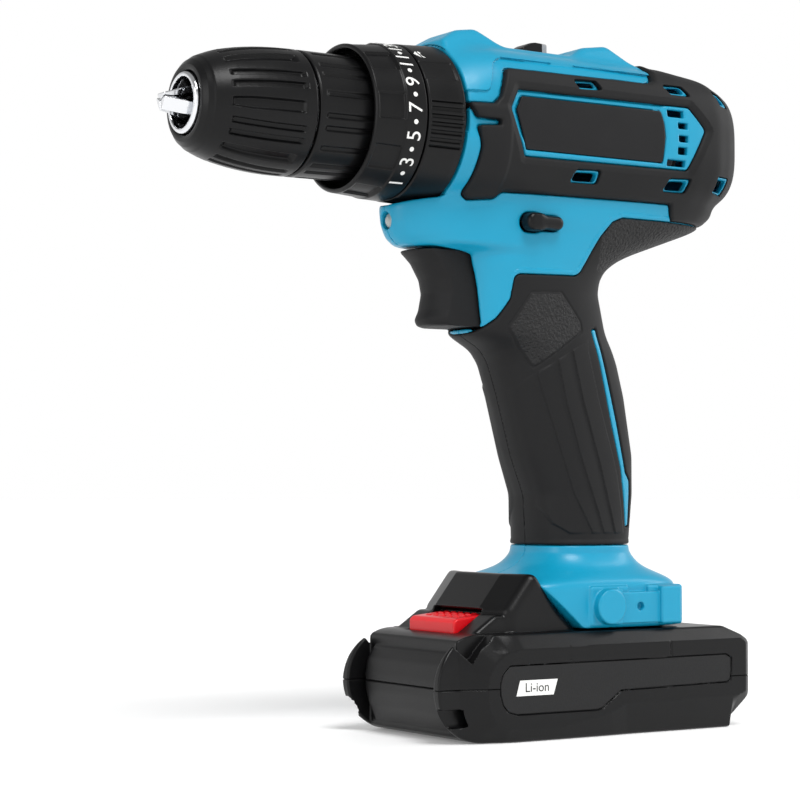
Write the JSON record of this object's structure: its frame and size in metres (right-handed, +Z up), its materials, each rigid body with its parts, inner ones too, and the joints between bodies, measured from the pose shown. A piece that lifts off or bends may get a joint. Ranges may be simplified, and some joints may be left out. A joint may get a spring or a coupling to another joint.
{
  "type": "cordless drill",
  "caption": "Pistol-grip cordless drill driver with keyless chuck, numbered torque ring, two-stage gearbox and slide-on battery.",
  "frame": {"origin": "on the ground under the middle of the drill's length and width", "axes": "+X along the spindle towards the chuck, +Y to the tool's left, +Z up"},
  "size_m": [0.239, 0.072, 0.2542],
  "materials": {
    "housing_blue": "satin moulded plastic, fine spark texture",
    "overmould_rubber": "matt soft-touch rubber",
    "label_black": "matt moulded panel",
    "black_plastic": "satin moulded glass-filled nylon",
    "battery_black": "satin moulded plastic",
    "button_red": "satin moulded plastic",
    "chrome": "bright plated steel",
    "steel": "machined steel",
    "copper_iron": "laminated iron with copper winding",
    "lens_clear": "clear moulded lens",
    "board_green": "coated circuit board",
    "cell_wrap": "printed shrink wrap over a steel can",
    "contact_metal": "plated contact blades in a plastic block"
  },
  "bodies": {
    "housing": {"housing_left": "housing_blue", "housing_right": "housing_blue", "overmould_left": "overmould_rubber", "overmould_right": "overmould_rubber", "grip_left": "overmould_rubber", "grip_right": "overmould_rubber", "label_panel_left": "label_black", "label_panel_right": "label_black", "work_light_lens": "lens_clear", "trigger_switch": "black_plastic", "motor_can": "steel", "motor_end_cap": "black_plastic", "motor_mount_plate": "steel", "gearbox_case": "black_plastic", "ring_gear_front": "steel", "spindle_bearing": "steel", "clutch_spring": "steel", "control_board": "board_green", "terminal_block": "contact_metal", "case_screw_1": "steel", "case_screw_2": "steel", "case_screw_3": "steel", "case_screw_4": "steel"},
    "spindle": {"spindle": "steel", "carrier_front": "steel", "chuck_body": "chrome", "chuck_rear_ring": "black_plastic", "chuck_screw": "steel"},
    "chuck_sleeve": {"chuck_sleeve": "black_plastic", "chuck_nut": "steel"},
    "jaw_1": {"jaw_1": "chrome"},
    "jaw_2": {"jaw_2": "chrome"},
    "jaw_3": {"jaw_3": "chrome"},
    "rotor": {"motor_rotor": "copper_iron", "motor_fan": "black_plastic", "motor_pinion": "steel"},
    "carrier_rear": {"carrier_rear": "steel"},
    "planet_front_1": {"planet_front_1": "steel"},
    "planet_front_2": {"planet_front_2": "steel"},
    "planet_front_3": {"planet_front_3": "steel"},
    "planet_rear_1": {"planet_rear_1": "steel"},
    "planet_rear_2": {"planet_rear_2": "steel"},
    "planet_rear_3": {"planet_rear_3": "steel"},
    "shift_ring": {"ring_gear_rear": "steel"},
    "torque_ring": {"torque_ring": "black_plastic"},
    "mode_ring": {"mode_ring": "black_plastic"},
    "trigger": {"trigger": "black_plastic"},
    "direction_button": {"direction_button": "black_plastic"},
    "speed_selector": {"speed_selector": "black_plastic"},
    "battery": {"battery_tray": "battery_black", "battery_cover": "battery_black", "cell_1": "cell_wrap", "cell_2": "cell_wrap", "cell_3": "cell_wrap", "cell_4": "cell_wrap", "cell_5": "cell_wrap", "battery_board": "board_green", "release_spring": "steel"},
    "release_button": {"release_button": "button_red"}
  },
  "joints": [
    {"name": "spindle_spin", "type": "hinge", "parent": "housing", "child": "spindle", "pos_m": [0.05045, 0, 0.218], "axis": [1, 0, 0], "continuous": true},
    {"name": "rotor_spin", "type": "hinge", "parent": "housing", "child": "rotor", "pos_m": [0.05045, 0, 0.218], "axis": [1, 0, 0], "continuous": true},
    {"name": "rear_carrier_spin", "type": "hinge", "parent": "housing", "child": "carrier_rear", "pos_m": [0.05045, 0, 0.218], "axis": [1, 0, 0], "continuous": true},
    {"name": "planet_front_1_spin", "type": "hinge", "parent": "spindle", "child": "planet_front_1", "pos_m": [-0.00285, 0.0108, 0.218], "axis": [1, 0, 0], "continuous": true},
    {"name": "planet_front_2_spin", "type": "hinge", "parent": "spindle", "child": "planet_front_2", "pos_m": [-0.00285, -0.0054, 0.22735], "axis": [1, 0, 0], "continuous": true},
    {"name": "planet_front_3_spin", "type": "hinge", "parent": "spindle", "child": "planet_front_3", "pos_m": [-0.00285, -0.0054, 0.20865], "axis": [1, 0, 0], "continuous": true},
    {"name": "planet_rear_1_spin", "type": "hinge", "parent": "carrier_rear", "child": "planet_rear_1", "pos_m": [-0.01775, 0.0108, 0.218], "axis": [1, 0, 0], "continuous": true},
    {"name": "planet_rear_2_spin", "type": "hinge", "parent": "carrier_rear", "child": "planet_rear_2", "pos_m": [-0.01775, -0.0054, 0.22735], "axis": [1, 0, 0], "continuous": true},
    {"name": "planet_rear_3_spin", "type": "hinge", "parent": "carrier_rear", "child": "planet_rear_3", "pos_m": [-0.01775, -0.0054, 0.20865], "axis": [1, 0, 0], "continuous": true},
    {"name": "sleeve_turn", "type": "hinge", "parent": "spindle", "child": "chuck_sleeve", "pos_m": [0.05045, 0, 0.218], "axis": [1, 0, 0], "range_deg": [0, 3600]},
    {"name": "jaw_1_slide", "type": "slide", "parent": "spindle", "child": "jaw_1", "axis": [-0.9703, 0, 0.2419], "range_m": [0, 0.0166]},
    {"name": "jaw_2_slide", "type": "slide", "parent": "spindle", "child": "jaw_2", "axis": [-0.9703, -0.2095, -0.121], "range_m": [0, 0.0166]},
    {"name": "jaw_3_slide", "type": "slide", "parent": "spindle", "child": "jaw_3", "axis": [-0.9703, 0.2095, -0.121], "range_m": [0, 0.0166]},
    {"name": "torque_ring_turn", "type": "hinge", "parent": "housing", "child": "torque_ring", "pos_m": [0.05045, 0, 0.218], "axis": [1, 0, 0], "range_deg": [-90, 150]},
    {"name": "mode_ring_turn", "type": "hinge", "parent": "housing", "child": "mode_ring", "pos_m": [0.05045, 0, 0.218], "axis": [1, 0, 0], "range_deg": [-30, 30]},
    {"name": "trigger_pull", "type": "slide", "parent": "housing", "child": "trigger", "axis": [-1, 0, 0], "range_m": [0, 0.006], "stiffness_N_per_m": 1200},
    {"name": "direction_button_push", "type": "slide", "parent": "housing", "child": "direction_button", "axis": [0, 1, 0], "range_m": [-0.003, 0.003]},
    {"name": "speed_selector_slide", "type": "slide", "parent": "housing", "child": "speed_selector", "axis": [-1, 0, 0], "range_m": [0, 0.005]},
    {"name": "shift_ring_slide", "type": "slide", "parent": "housing", "child": "shift_ring", "axis": [-1, 0, 0], "range_m": [0, 0.005]},
    {"name": "battery_slide", "type": "slide", "parent": "housing", "child": "battery", "axis": [1, 0, 0], "range_m": [0, 0.09]},
    {"name": "release_button_press", "type": "slide", "parent": "battery", "child": "release_button", "axis": [0, 0, -1], "range_m": [0, 0.003], "stiffness_N_per_m": 1000, "deforming": ["release_spring"]}
  ],
  "couplings": [
    {"joint": "rotor_spin", "follows": "spindle_spin", "ratio": 16},
    {"joint": "rear_carrier_spin", "follows": "spindle_spin", "ratio": 4},
    {"joint": "planet_front_1_spin", "follows": "spindle_spin", "ratio": -3},
    {"joint": "planet_front_2_spin", "follows": "spindle_spin", "ratio": -3},
    {"joint": "planet_front_3_spin", "follows": "spindle_spin", "ratio": -3},
    {"joint": "planet_rear_1_spin", "follows": "spindle_spin", "ratio": -12},
    {"joint": "planet_rear_2_spin", "follows": "spindle_spin", "ratio": -12},
    {"joint": "planet_rear_3_spin", "follows": "spindle_spin", "ratio": -12},
    {"joint": "jaw_1_slide", "follows": "sleeve_turn", "m_per_rad": 0.00026261},
    {"joint": "jaw_2_slide", "follows": "sleeve_turn", "m_per_rad": 0.00026261},
    {"joint": "jaw_3_slide", "follows": "sleeve_turn", "m_per_rad": 0.00026261},
    {"joint": "shift_ring_slide", "follows": "speed_selector_slide", "ratio": 1}
  ]
}
